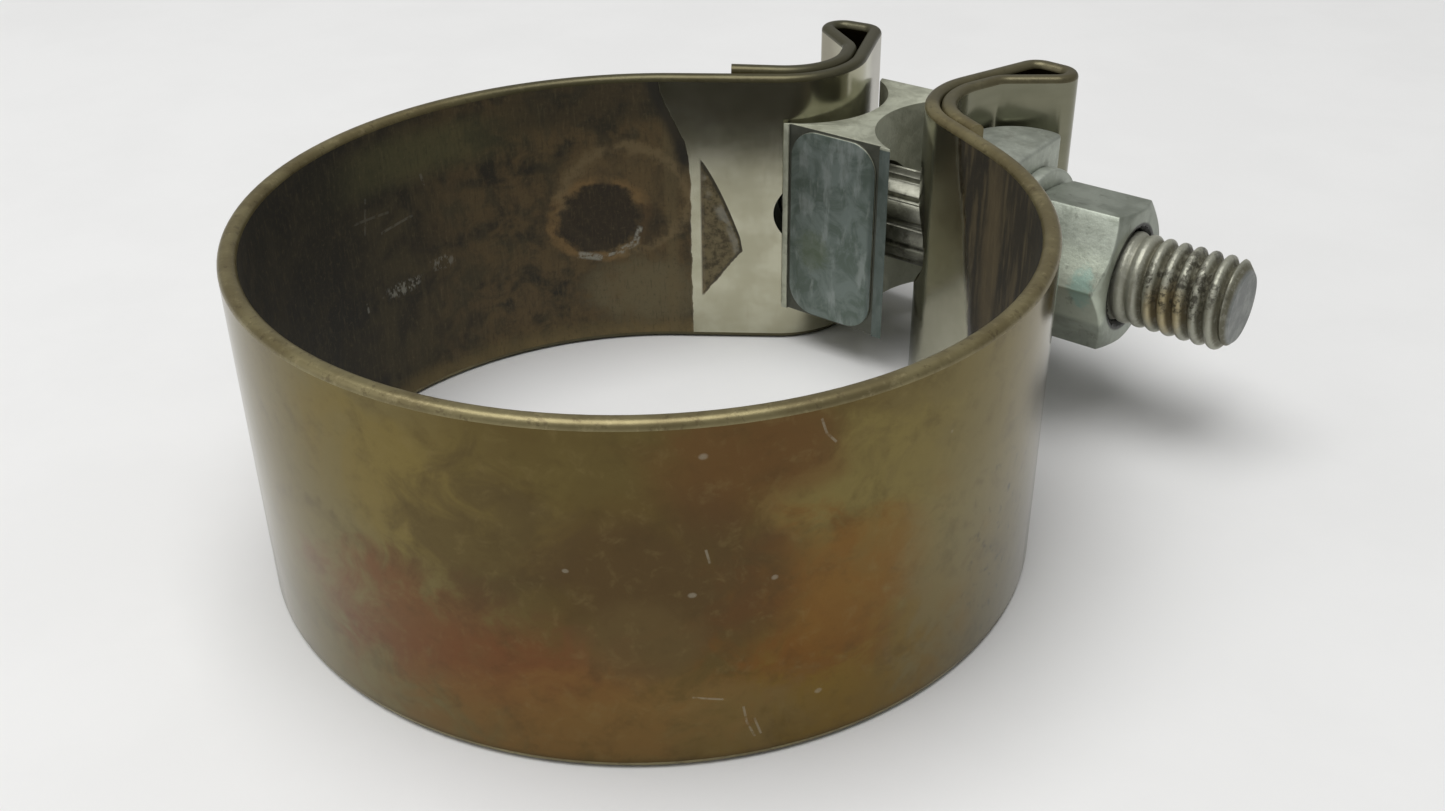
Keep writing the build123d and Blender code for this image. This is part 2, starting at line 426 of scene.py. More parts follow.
def thread(name, start, end):
    """A right-hand helical thread between two x, with a worn start by the nut and a chamfered tip."""
    profile = thread_profile()
    turns = ceil((end - start) / THREAD_PITCH) + 2
    rows = []
    for i in range(THREAD_STEPS + 1):
        lead = i / THREAD_STEPS
        row = []
        for turn in range(-1, turns):
            for share, radius in profile:
                x = start + (turn + share + lead) * THREAD_PITCH
                limit = TIP_R + max(0.0, end - x) * TIP_SLOPE
                if x < start:
                    radius = profile[0][1]
                cut = min(1.0, max(THREAD_FADE, (x - nut_high[0]) / THREAD_FADE_RUN))
                radius = THREAD_R - (THREAD_R - radius) * cut
                row.append((min(max(x, start), end), min(radius, limit)))
        rows.append(row)
    count = len(rows[0])
    points = []
    for i, row in enumerate(rows):
        angle = 2 * pi * i / THREAD_STEPS
        points += [along_bolt(r * cos(angle), r * sin(angle), x) for x, r in row]
    faces = []
    for i in range(THREAD_STEPS):
        for j in range(count - 1):
            a = i * count + j
            faces.append((a, a + 1, a + 1 + count, a + count))
    # close both ends with a fan
    for j, x in ((0, start), (count - 1, end)):
        hub = len(points)
        points.append(along_bolt(0, 0, x))
        faces += [(i * count + j, (i + 1) * count + j, hub) for i in range(THREAD_STEPS)]
    mesh = mesh_from(name, points, faces)
    tidy = bmesh.new()
    tidy.from_mesh(mesh)
    bmesh.ops.dissolve_degenerate(tidy, edges=tidy.edges, dist=1e-6)
    bmesh.ops.recalc_face_normals(tidy, faces=tidy.faces)
    tidy.to_mesh(mesh)
    tidy.free()
    return make_object(name, mesh)


def splined_shank(name, start, end):
    """Shank with broad flat-topped splines."""
    outline = []
    for i in range(SPLINE_COUNT):
        middle = 2 * pi * i / SPLINE_COUNT
        half = pi / SPLINE_COUNT
        root = SPLINE_R - SPLINE_DEPTH
        for share, radius in ((-1.0, root), (-0.82, root), (-0.66, SPLINE_R), (-0.3, SPLINE_R),
                              (0.0, SPLINE_R), (0.3, SPLINE_R), (0.66, SPLINE_R), (0.82, root)):
            angle = middle + share * half
            outline.append((radius * cos(angle), radius * sin(angle)))
    return soften(prism(name, outline, start, end, along_bolt), 0.12 * MM, 2)


def make_bolt():
    """Hex head, splined shank and thread."""
    head = soften(hexagon("bolt_head", bolt_low[0], HEAD_X, True, False), 0.2 * MM)
    shank = splined_shank("bolt_shank", HEAD_X - 0.5 * MM, SPLINE_END_X)
    screw = thread("bolt_thread", SPLINE_END_X - 0.2 * MM, bolt_high[0])
    finish_piece(head, ZINC_HEAD, "bolt_assembly", "bolt_steel", "bolt")
    finish_piece(shank, SHANK_STEEL, "bolt_assembly", "bolt_steel")
    finish_piece(screw, THREAD_STEEL, "bolt_assembly", "bolt_steel")


def make_nut():
    """Long hex nut with countersunk ends."""
    start, end = nut_low[0], nut_high[0]
    piece = hexagon("hex_nut", start, end, True, True)
    sink = 0.5 * MM
    mouth_r = NUT_BORE_R + sink
    bore = turned("nut_bore", [
        (start - MM, 0), (start - MM, mouth_r), (start, mouth_r), (start + sink, NUT_BORE_R),
        (end - sink, NUT_BORE_R), (end, mouth_r), (end + MM, mouth_r), (end + MM, 0)])
    combine(piece, bore, "DIFFERENCE")
    soften(piece, 0.18 * MM)
    finish_piece(piece, ZINC_NUT, "hex_nut", "nut_steel", "nut")


def make_washer():
    """Flat washer with rolled edges."""
    start, end = washer_low[0], washer_high[0]
    radius = (washer_high[1] - washer_low[1]) / 2
    profile = [(start, WASHER_BORE_R), (start, radius), (end, radius), (end, WASHER_BORE_R)]
    piece = turned("flat_washer", profile)
    soften(piece, 0.3 * MM)
    finish_piece(piece, ZINC_BAR, "nut_carriage", "nut_steel", "washer")


# ---------------------------------------------------------------- bars and spacer

def make_bar(name, low, high, flat_side, body, node):
    """D-section bar: round towards its ear, flat on the side given by its sign."""
    radius = (high[1] - low[1]) / 2
    flat_x = high[0] if flat_side > 0 else low[0]
    centre_x = low[0] + radius if flat_side > 0 else high[0] - radius
    half_open = pi - atan2(sqrt(radius ** 2 - (flat_x - centre_x) ** 2), abs(flat_x - centre_x))
    middle = pi if flat_side > 0 else 0
    outline = arc(centre_x, BOLT_Y, radius, middle - half_open, middle + half_open, radians(4))
    piece = prism(name, outline, low[2], high[2], along_z)
    soften(piece, 0.45 * MM, 4)
    combine(piece, rod("bar_bore", BAR_BORE_R, low[0] - MM, high[0] + MM), "DIFFERENCE")
    finish_piece(piece, ZINC_BAR, body, "bar_steel", node)


def waist_side(middle_x, side, low_y, high_y, low_half, high_half):
    """One side of the spacer's outline, from its inner end to its outer end."""
    centre_x = middle_x + side * (SPACER_WAIST / 2 + SPACER_SIDE_R)
    points = [(middle_x + side * low_half, low_y)]
    steps = ROUND_STEPS // 2
    for i in range(steps + 1):
        angle = -pi / 2 + pi * i / steps
        x = centre_x - side * SPACER_SIDE_R * cos(angle)
        y = SPACER_WAIST_Y + SPACER_SIDE_R * sin(angle)
        share = (y - low_y) / (high_y - low_y)
        half = low_half + (high_half - low_half) * share
        if low_y < y < high_y and abs(x - middle_x) < half:
            points.append((x, y))
    points.append((middle_x + side * high_half, high_y))
    return points


def make_spacer():
    """Waisted block with a raised panel on its inner face, between thin lips."""
    middle_x = (spacer_low[0] + spacer_high[0]) / 2
    half = (spacer_high[0] - spacer_low[0]) / 2
    low_y, high_y = spacer_low[1], spacer_high[1]
    right = waist_side(middle_x, 1, low_y, high_y, half, SPACER_OUTER_W / 2)
    left = waist_side(middle_x, -1, low_y, high_y, half, SPACER_OUTER_W / 2)
    piece = prism("spacer_block", right + left[::-1], spacer_low[2], spacer_high[2], along_z)

    lip_left, lip_right = 0.7 * MM, 1.3 * MM
    groove = 0.4 * MM
    recess = 0.35 * MM
    corner = 3.2 * MM
    inset = 0.3 * MM
    low_x, high_x = spacer_low[0] + lip_left, spacer_high[0] - lip_right
    bottom, top = spacer_low[2], spacer_high[2]
    frame_outline = [(low_x, bottom - MM), (high_x, bottom - MM), (high_x, top + MM), (low_x, top + MM)]
    frame_cut = prism("spacer_recess", frame_outline, low_y - MM, low_y + recess, along_y)
    panel = []
    left_x, right_x = low_x + groove + corner, high_x - groove - corner
    low_z, high_z = bottom + inset + corner, top - inset - corner
    corners = ((right_x, high_z), (left_x, high_z), (left_x, low_z), (right_x, low_z))
    for i, (cx, cz) in enumerate(corners):
        panel += arc(cx, cz, corner, i * pi / 2, (i + 1) * pi / 2, radians(9))
    panel_keep = prism("spacer_panel", panel, low_y - 2 * MM, low_y + 2 * MM, along_y)
    combine(frame_cut, panel_keep, "DIFFERENCE")
    combine(piece, frame_cut, "DIFFERENCE")
    soften(piece, 0.14 * MM, 2, 50)
    combine(piece, rod("spacer_bore", SPACER_BORE_R, spacer_low[0] - MM, spacer_high[0] + MM), "DIFFERENCE")
    finish_piece(piece, ZINC_SPACER, "spacer_block", "spacer_steel", "spacer")


# ---------------------------------------------------------------- materials

class Finish:
    """A Principled material made of named steps. Places are in metres; sizes, widths and depths in mm."""

    def __init__(self, name):
        self.material = bpy.data.materials.new(name)
        self.material.use_nodes = True
        self.tree = self.material.node_tree
        self.shader = self.tree.nodes["Principled BSDF"]
        self.place = self._node("TexCoord").outputs["Object"]

    def _feed(self, socket, value):
        if isinstance(value, bpy.types.NodeSocket):
            self.tree.links.new(value, socket)
        elif socket.type == "RGBA" and len(value) == 3:
            socket.default_value = (*value, 1)
        else:
            socket.default_value = value

    def _node(self, kind, **inputs):
        """A new shader node whose named inputs are set or linked."""
        node = self.tree.nodes.new("ShaderNode" + kind)
        for name, value in inputs.items():
            self._feed(node.inputs[name], value)
        return node

    def math(self, operation, a, b=0.0):
        node = self._node("Math")
        node.operation = operation
        self._feed(node.inputs[0], a)
        self._feed(node.inputs[1], b)
        return node.outputs[0]

    def split(self, vector):
        return tuple(self._node("SeparateXYZ", Vector=vector).outputs)

    def join(self, x, y, z):
        return self._node("CombineXYZ", X=x, Y=y, Z=z).outputs[0]

    def noise(self, size, detail=4.0, rough=0.55, stretch=(1, 1, 1), offset=(0, 0, 0), twist=0.0):
        """Cloudy noise from 0 to 1 whose blobs are about size across."""
        place = self._node("Mapping", Vector=self.place, Scale=stretch, Location=offset).outputs[0]
        node = self._node("TexNoise", Vector=place, Scale=1 / (size * MM), Detail=detail, Roughness=rough,
                          Distortion=twist)
        return node.outputs["Fac"]

    def cells(self, size):
        """Distance to the nearest of scattered points, in cells."""
        return self._node("TexVoronoi", Vector=self.place, Scale=1 / (size * MM)).outputs["Distance"]

    def ramp(self, value, low, high):
        """0 below low, 1 above high, smooth between. low may be the larger."""
        node = self._node("MapRange", Value=value)
        node.interpolation_type = "SMOOTHSTEP"
        if low > high:
            low, high = high, low
            node.inputs["To Min"].default_value = 1
            node.inputs["To Max"].default_value = 0
        node.inputs["From Min"].default_value = low
        node.inputs["From Max"].default_value = high
        return node.outputs[0]

    def turn_ramp(self, u, low, high):
        """A ramp between two places round the ring, in degrees."""
        return self.ramp(u, ring_at(low), ring_at(high))

    def mix(self, factor, a, b):
        """Colour a where the factor is 0, b where it is 1."""
        node = self._node("Mix")
        node.data_type = "RGBA"
        self._feed(node.inputs["Factor"], factor)
        self._feed(node.inputs["A"], a)
        self._feed(node.inputs["B"], b)
        return node.outputs["Result"]

    def plus(self, a, b):
        return self.math("ADD", a, b)

    def minus(self, a, b):
        return self.math("SUBTRACT", a, b)

    def both(self, a, b):
        return self.math("MULTIPLY", a, b)

    def tint(self, colour, tone, mask, share=1.0):
        """A colour with a tone laid over it where the mask is 1, as strongly as the share says."""
        return self.mix(self.both(mask, share), colour, tone)

    def either(self, a, b):
        return self.math("MAXIMUM", a, b)

    def flip(self, a):
        return self.minus(1.0, a)

    def between(self, low, high, share):
        """A number from low to high as share goes from 0 to 1."""
        return self.plus(self.both(share, high - low), low)

    def reach(self, a, b):
        """Distance from the axis that a and b are measured across."""
        squares = self.plus(self.both(a, a), self.both(b, b))
        return self.math("SQRT", squares)

    def off_bolt(self, y, z):
        """Distance from the bolt's axis."""
        return self.reach(self.minus(y, BOLT_Y), z)

    def blob(self, u, v, at, radii, ragged=0.0, wobble=None, soft=0.9):
        """1 inside an oval at (u, v), fading to 0 at its edge."""
        du = self.math("DIVIDE", self.minus(u, at[0]), radii[0] * MM)
        dv = self.math("DIVIDE", self.minus(v, at[1]), radii[1] * MM)
        far = self.plus(self.both(du, du), self.both(dv, dv))
        if wobble is not None:
            far = self.plus(far, self.both(self.minus(wobble, 0.5), ragged))
        return self.ramp(far, 1.0, 1.0 - soft)

    def stroke(self, u, v, start, end, width):
        """1 on a thin straight line between two points."""
        width = width * MM
        du, dv = end[0] - start[0], end[1] - start[1]
        length = hypot(du, dv)
        ru, rv = self.minus(u, start[0]), self.minus(v, start[1])
        du, dv = du / length, dv / length
        along = self.plus(self.both(ru, du), self.both(rv, dv))
        across = self.minus(self.both(ru, dv), self.both(rv, du))
        line = self.ramp(self.math("ABSOLUTE", across), width, width * 0.4)
        inside = self.both(self.ramp(along, -width, 0.0), self.ramp(along, length + width, length))
        return self.both(line, inside)

    def ring_place(self):
        """(distance round the ring from the back, z) of the strap; positive is towards the nut."""
        x, y, z = self.split(self.place)
        angle = self.math("ARCTAN2", x, self.both(y, -1.0))
        return self.both(angle, RING_R), z

    def unroll(self):
        """Lay the ring out flat for every noise made from here on, and give its ring_place."""
        u, v = self.ring_place()
        self.place = self.join(u, v, 0.0)
        return u, v

    def finish(self, colour, roughness, metallic, height=None, depth=0.0):
        self._feed(self.shader.inputs["Base Color"], colour)
        self._feed(self.shader.inputs["Roughness"], roughness)
        self._feed(self.shader.inputs["Metallic"], metallic)
        if height is not None:
            bump = self._node("Bump", Distance=depth * MM, Height=height)
            self.tree.links.new(bump.outputs[0], self.shader.inputs["Normal"])
        return self.material


def ring_at(angle_degrees):
    """Distance round the ring from the back, for an angle from the back towards the nut."""
    return RING_R * radians(angle_degrees)


def on_ring(angle_degrees, height):
    """A place on the ring as (u, v), from degrees round it and a height in millimetres."""
    return ring_at(angle_degrees), height * MM


def strap_outer():
    """Smooth heat-tinted bronze: dark in front as painted shade of a darker reflection, olive to both sides,
    with clouds of rust and gold.
    """
    f = Finish("strap_outer")
    u, v = f.unroll()
    broad = f.noise(12, 4.0, 0.6, offset=(0.3, 0.1, 0), twist=0.8)
    cloud = f.noise(5, 5.0, 0.65, twist=0.8)
    fine = f.noise(1.1, 5.0, 0.65)

    # Painted shade: darker where the wall faces the camera, standing in for the darker reflection it shows
    # there; olive towards both sides.
    from_shaded_front = f.math("ABSOLUTE", f.minus(u, ring_at(42)))
    from_shaded_front = f.plus(from_shaded_front, f.between(-5 * MM, 5 * MM, cloud))
    colour = f.mix(f.ramp(from_shaded_front, 7 * MM, 28 * MM), (0.108, 0.074, 0.027), (0.172, 0.140, 0.060))
    unseen = f.ramp(from_shaded_front, 40 * MM, 55 * MM)
    for lag, tone in ((0.15, (0.150, 0.085, 0.030)), (0.55, (0.090, 0.064, 0.028))):
        drift = f.noise(15, 4.0, 0.6, offset=(lag, 0.8, 0), twist=0.6)
        patches = f.both(unseen, f.ramp(drift, 0.46, 0.62))
        colour = f.tint(colour, tone, patches, 0.7)
    clouds = (  # degrees round the ring, height and two radii in mm, colour, strength
        (10, 9, 11, 7, (0.185, 0.140, 0.046), 0.8),
        (67, 6, 9, 8, (0.195, 0.155, 0.056), 0.8),
        (30, 13, 10, 5, (0.115, 0.088, 0.032), 0.6),
        (30, -11, 19, 6, (0.165, 0.098, 0.033), 0.75),
        (68, -9, 13, 8, (0.190, 0.118, 0.026), 0.85),
        (12, -4.5, 12, 6, (0.150, 0.066, 0.030), 0.8),
        (24, -7, 9, 4, (0.150, 0.062, 0.026), 0.7),
        (60, -2, 10, 8, (0.158, 0.068, 0.020), 0.75),
        (51, 11, 7, 5, (0.122, 0.058, 0.024), 0.6),
        (20, 4.5, 7, 8, (0.080, 0.057, 0.028), 0.65),
        (43, 2, 9, 8, (0.077, 0.048, 0.024), 0.65),
        (46, -12, 10, 4.5, (0.165, 0.116, 0.045), 0.75),
        (38, -4, 5, 4, (0.128, 0.090, 0.038), 0.5),
        (29, -11, 12, 4.5, (0.182, 0.102, 0.034), 0.7),
        (68, 0, 7, 7, (0.180, 0.100, 0.028), 0.6),
        (86, -4, 9, 14, (0.180, 0.150, 0.068), 0.7))
    for i, (turn, height, wide, tall, tone, strength) in enumerate(clouds):
        wobble = (broad, cloud)[i % 2]
        radii = (1.25 * wide, 1.25 * tall)
        spot = f.blob(u, v, on_ring(turn, height), radii, 3.0, wobble, 1.0)
        colour = f.tint(colour, tone, spot, strength)
    dark = f.ramp(f.noise(4, 5.0, 0.65, offset=(0.7, 0.4, 0)), 0.5, 0.72)
    colour = f.tint(colour, (0.066, 0.046, 0.021), dark, 0.35)
    mottle = f.noise(1.8, 5.0, 0.7, offset=(0.1, 0.7, 0), twist=0.5)
    colour = f.tint(colour, (0.215, 0.165, 0.070), f.ramp(mottle, 0.52, 0.72), 0.22)
    colour = f.tint(colour, (0.070, 0.044, 0.019), f.ramp(mottle, 0.48, 0.28), 0.22)
    worn = f.blob(u, v, on_ring(93, -5), (7, 12), 1.5, mottle)
    colour = f.tint(colour, (0.045, 0.040, 0.026), worn, f.ramp(fine, 0.55, 0.7))
    # Painted shade along the bottom edge: the reflected contact shadow where the wall meets the floor.
    low_edge = f.ramp(v, -STRAP_W / 2 + 1.2 * MM, -STRAP_W / 2 + 0.3 * MM)
    colour = f.tint(colour, (0.05, 0.035, 0.018), low_edge, 0.75)

    nicks = f.both(
        f.ramp(f.cells(3.4), 0.055, 0.02),
        f.ramp(f.noise(9, 1.0, offset=(0.2, 0.9, 0)), 0.56, 0.62))
    marks = nicks
    pale_dots = (  # degrees round the ring, height and radius in mm
        (45.8, 12.9, 0.42), (44.2, 1.0, 0.4), (54.0, 1.6, 0.36), (29.8, 3.3, 0.3), (60, -10.5, 0.4))
    for turn, height, size in pale_dots:
        dot = f.blob(u, v, on_ring(turn, height), (size, 0.8 * size), 1.2, fine)
        marks = f.either(marks, dot)
    for start, end in (
            (on_ring(59.4, 14.4), on_ring(60.0, 13.2)),
            (on_ring(60.0, 13.2), on_ring(61.2, 12.3)),
            (on_ring(50.2, -10.4), on_ring(50.6, -12.0)),
            (on_ring(50.6, -12.0), on_ring(51.6, -13.6)),
            (on_ring(51.6, -11.8), on_ring(52.4, -13.4)),
            (on_ring(44.0, -8.8), on_ring(47.6, -9.3)),
            (on_ring(45.9, 4.9), on_ring(46.3, 3.8))):
        line = f.stroke(u, v, start, end, 0.13)
        marks = f.either(marks, f.both(line, f.ramp(fine, 0.34, 0.58)))
    colour = f.tint(colour, (0.45, 0.42, 0.33), marks, 0.3)

    rough = f.between(0.10, 0.19, f.noise(5, 4.0, 0.6, offset=(0.5, 0.5, 0)))
    rough = f.plus(rough, f.both(marks, 0.2))
    height = f.minus(f.both(fine, 0.25), f.both(marks, 0.5))
    return f.finish(colour, rough, 0.97, height, 0.006)


def strap_inner():
    """Sooty brown inside of the ring with a round stain, and bare polished steel at both ears."""
    f = Finish("strap_inner")
    x, y, _ = f.split(f.place)
    u, v = f.unroll()
    cloud = f.noise(6, 4.0, 0.6, twist=0.7)
    warm = f.noise(3.6, 5.0, 0.65, offset=(0.2, 0.6, 0), twist=0.4)
    fine = f.noise(1.0, 5.0, 0.7)
    streaks = f.noise(1.1, 4.0, 0.6, stretch=(1, 0.14, 1))
    grain = f.noise(0.32, 3.0, 0.7, stretch=(1, 0.16, 1))

    # Soot: near black at the left, a painted olive sheen under the top edge, browner towards the head-side
    # ear
    soot = f.mix(f.ramp(cloud, 0.38, 0.64), (0.028, 0.023, 0.012), (0.066, 0.052, 0.025))
    soot = f.tint(soot, (0.105, 0.084, 0.044), f.ramp(streaks, 0.5, 0.72), 0.4)
    browner = f.both(f.turn_ramp(u, -88, -116), f.ramp(warm, 0.36, 0.62))
    soot = f.tint(soot, (0.150, 0.100, 0.040), browner, 0.75)
    low_edge = f.ramp(v, -STRAP_W / 2 + 3.4 * MM, -STRAP_W / 2 + 0.8 * MM)
    low_edge = f.both(low_edge, f.turn_ramp(u, -70, -95))
    soot = f.tint(soot, (0.25, 0.185, 0.075), low_edge, f.between(0.3, 0.9, warm))
    # Painted sheen: a paler olive band under the top edge at the left of the inside wall.
    band = f.both(f.ramp(v, 7.5 * MM, 10.5 * MM), f.ramp(v, 14.8 * MM, 12.5 * MM))
    band = f.both(band, f.turn_ramp(u, -124, -104))
    band = f.both(band, f.turn_ramp(u, -70, -86))
    soot = f.tint(soot, (0.105, 0.098, 0.040), band, f.between(0.45, 0.9, cloud))
    deep = f.both(f.turn_ramp(u, -92, -76), 0.6)
    soot = f.mix(deep, soot, (0.016, 0.015, 0.011))
    under = f.both(f.ramp(v, 9.5 * MM, 12 * MM), f.turn_ramp(u, -104, -122))
    soot = f.tint(soot, (0.030, 0.026, 0.014), under, f.between(0.2, 0.9, warm))
    sandy = f.blob(u, v, on_ring(-139, -9.5), (8.5, 5.5), 2.2, warm, 1.0)
    soot = f.tint(soot, (0.185, 0.150, 0.076), sandy, 0.85)
    stripe = f.turn_ramp(u, -143.2, -144.4)
    stripe = f.both(stripe, f.turn_ramp(u, -146.6, -145.4))
    soot = f.tint(soot, (0.170, 0.130, 0.060), stripe, f.between(0.2, 0.8, streaks))

    # Round stain with tan rings round it and a pale crust under it
    ragged = f.noise(2.2, 4.0, 0.65)
    stain_at = on_ring(-131.5, -0.4)
    halo = f.blob(u, v, on_ring(-134, 2.5), (8.5, 7), 1.4, warm)
    soot = f.tint(soot, (0.165, 0.112, 0.048), halo, f.between(0.2, 0.7, warm))
    for at, wide, tone in (
            (stain_at, 6.6, (0.270, 0.165, 0.062)),
            (on_ring(-136.5, 1.8), 8.6, (0.230, 0.168, 0.080))):
        outer = f.blob(u, v, at, (wide, 0.84 * wide), 0.9, ragged, 0.35)
        inner = f.blob(u, v, at, (wide - 1.2, 0.84 * (wide - 1.2)), 0.9, ragged, 0.35)
        rim = f.both(f.minus(outer, inner), f.ramp(cloud, 0.3, 0.5))
        soot = f.tint(soot, tone, rim, 0.75)
    stain = f.either(
        f.blob(u, v, stain_at, (5.4, 4.5), 1.4, ragged, 0.4),
        f.both(f.blob(u, v, on_ring(-139.5, -1.2), (3.6, 3.2), 2.4, ragged, 0.9), 0.75))
    soot = f.tint(soot, (0.029, 0.021, 0.012), stain, 0.85)
    pale = None
    for start, end, width in (
            (on_ring(-138.9, -1.9), on_ring(-138.0, -3.6), 0.45),
            (on_ring(-138.0, -3.6), on_ring(-135.4, -4.5), 0.5),
            (on_ring(-131.0, -5.1), on_ring(-127.6, -4.6), 0.55),
            (on_ring(-135.0, -4.6), on_ring(-131.4, -5.2), 0.25)):
        crust = f.stroke(u, v, start, end, width)
        pale = crust if pale is None else f.either(pale, crust)
    soot = f.tint(soot, (0.34, 0.33, 0.27), f.both(pale, 0.9), f.ramp(fine, 0.40, 0.54))
    dusty = f.noise(0.5, 4.0, 0.75, offset=(0.5, 0.1, 0))
    for texture in (grain, dusty):
        soot = f.tint(soot, (0.165, 0.128, 0.062), f.ramp(texture, 0.53, 0.72), 0.3)
        soot = f.tint(soot, (0.018, 0.015, 0.008), f.ramp(texture, 0.47, 0.28), 0.35)

    # Where the soot stops: a line leaning over near the top on the head side, a ragged fade by the nut
    leaning = f.minus(u, f.both(f.ramp(v, 5.5 * MM, 16 * MM), ring_at(5.5)))
    wavy = f.plus(leaning, f.between(-0.3 * MM, 0.3 * MM, ragged))
    head_clean = f.turn_ramp(wavy, -148.2, -148.8)
    dark_side = f.both(f.turn_ramp(wavy, -145.2, -147.6), f.ramp(v, 3 * MM, 7 * MM))
    soot = f.tint(soot, (0.022, 0.020, 0.014), dark_side, 0.85)
    nut_wavy = f.plus(f.plus(u, f.both(v, -0.25)), f.between(-1.2 * MM, 1.2 * MM, streaks))
    nut_clean = f.turn_ramp(nut_wavy, 148.5, 152.5)
    nut_dark = f.turn_ramp(u, 120, 134)
    soot = f.tint(soot, (0.030, 0.024, 0.014), nut_dark, 0.6)
    soot = f.tint(soot, (0.088, 0.068, 0.034), nut_dark, f.ramp(streaks, 0.44, 0.64))
    tan = f.blob(u, v, on_ring(144.6, 6), (2.2, 13), 1.8, streaks, 1.0)
    soot = f.tint(soot, (0.150, 0.112, 0.054), tan, f.between(0.15, 0.8, warm))
    reach = f.reach(x, y)
    off_ring = f.ramp(reach, RING_R - 0.4 * MM, RING_R + 0.6 * MM)
    clean = f.either(f.either(head_clean, nut_clean), off_ring)

    # Three-sided patch left on the steel, dark along its upper edge
    root, tip = ring_at(-150.9), ring_at(-158.3)
    top_z, tip_z, low_z = 6.0 * MM, -4.4 * MM, -10.2 * MM
    from_tip = f.minus(u, tip)
    torn = f.between(-0.45 * MM, 0.45 * MM, ragged)
    roof = f.minus(f.plus(f.both(from_tip, (top_z - tip_z) / (root - tip)), tip_z), v)
    base = f.minus(v, f.plus(f.both(from_tip, (low_z - tip_z) / (root - tip)), tip_z))
    share = f.math("DIVIDE", from_tip, root - tip)
    bulge = f.both(share, f.flip(share))
    roof = f.plus(roof, f.both(bulge, 3.6 * MM))
    roof = f.minus(roof, f.both(f.ramp(base, 2.2 * MM, 0.0), 0.7 * MM))
    patch = f.both(f.ramp(roof, -0.3 * MM, 0.2 * MM), f.ramp(f.plus(base, torn), -0.2 * MM, 0.5 * MM))
    patch = f.both(patch, f.ramp(u, root + 0.5 * MM, root - 0.3 * MM))
    mottle = f.mix(f.ramp(fine, 0.36, 0.6), (0.075, 0.060, 0.030), (0.205, 0.165, 0.085))
    worn = f.both(f.ramp(roof, 0.8 * MM, 1.3 * MM), f.ramp(roof, 4.2 * MM, 2.4 * MM))
    worn = f.both(worn, f.ramp(warm, 0.42, 0.6))
    mottle = f.tint(mottle, (0.36, 0.35, 0.29), worn, 0.6)
    outline = f.ramp(f.math("MINIMUM", roof, f.both(base, 1.4)), 0.9 * MM, 0.35 * MM)
    mottle = f.tint(mottle, (0.040, 0.036, 0.024), outline, 0.8)
    clean = f.both(clean, f.flip(patch))
    soot = f.mix(patch, soot, mottle)

    # Steel, darker on the turned-back laps, with a painted dark reflection behind the head-side loop, filmed
    # over by the nut-side ear
    sheen = f.ramp(f.noise(5, 3.0, 0.6), 0.35, 0.7)
    steel = f.mix(sheen, (0.41, 0.395, 0.285), (0.52, 0.505, 0.385))
    steel = f.tint(steel, (0.22, 0.19, 0.12), f.ramp(streaks, 0.58, 0.78), 0.2)
    lapped = f.both(f.ramp(reach, RING_R + 1.0 * MM, RING_R + 1.6 * MM), f.flip(head_clean))
    steel = f.tint(steel, (0.118, 0.118, 0.078), lapped, f.between(0.6, 0.9, warm))
    # Painted reflection: the head-side ear's steel darkened beyond the bolt, where it mirrors something dark.
    head_loop_dark_reflection = f.both(f.ramp(y, BOLT_Y + 4 * MM, BOLT_Y + 8 * MM), f.ramp(x, 0.0, -3 * MM))
    steel = f.tint(steel, (0.19, 0.165, 0.11), head_loop_dark_reflection, 0.75)
    filmed = f.both(f.ramp(x, 2 * MM, 4 * MM), f.ramp(reach, RING_R + 6 * MM, RING_R + 1 * MM))
    steel = f.tint(steel, (0.17, 0.165, 0.115), filmed, 0.55)

    # Pale scuffs and a few plain scratches, with the bare steel laid over the soot
    scuff = f.noise(0.55, 3.0, 0.65, stretch=(1, 0.5, 1), offset=(0.4, 0, 0))
    marks = f.both(f.ramp(scuff, 0.47, 0.56), f.either(
        f.blob(u, v, on_ring(-91.5, -2.6), (3.4, 1.0), 1.6, ragged),
        f.both(f.blob(u, v, on_ring(-100, -1.6), (2.2, 0.9), 1.6, ragged), 0.7)))
    for start, end, share in (
            (on_ring(-85.7, 8.7), on_ring(-84.6, 5.1), 0.25),
            (on_ring(-82.6, 6.7), on_ring(-90.3, 6.3), 0.25),
            (on_ring(-88.4, 4.4), on_ring(-95.2, 4.9), 0.35),
            (on_ring(-82.8, -2.4), on_ring(-82.9, -3.3), 0.7),
            (on_ring(-98.0, 9.0), on_ring(-98.4, 7.8), 0.4)):
        marks = f.either(marks, f.both(f.stroke(u, v, start, end, 0.2), share))
    marks = f.both(marks, f.ramp(f.noise(0.7, 2.0), 0.32, 0.56))
    bright = f.ramp(clean, 0.55, 1.0)
    clean = f.ramp(clean, 0.0, 0.5)
    colour = f.mix(bright, soot, steel)
    colour = f.tint(colour, (0.36, 0.35, 0.29), marks, 0.6)

    dull = f.both(f.between(0.60, 0.78, cloud), f.flip(clean))
    rough = f.plus(dull, f.both(f.between(0.13, 0.24, ragged), clean))
    rough = f.plus(rough, f.both(f.minus(grain, 0.5), 0.06))
    metallic = f.between(0.25, 0.95, bright)
    height = f.plus(f.both(fine, f.between(0.9, 0.015, clean)),
                    f.both(grain, f.between(0.4, 0.04, clean)))
    return f.finish(colour, rough, metallic, height, 0.03)


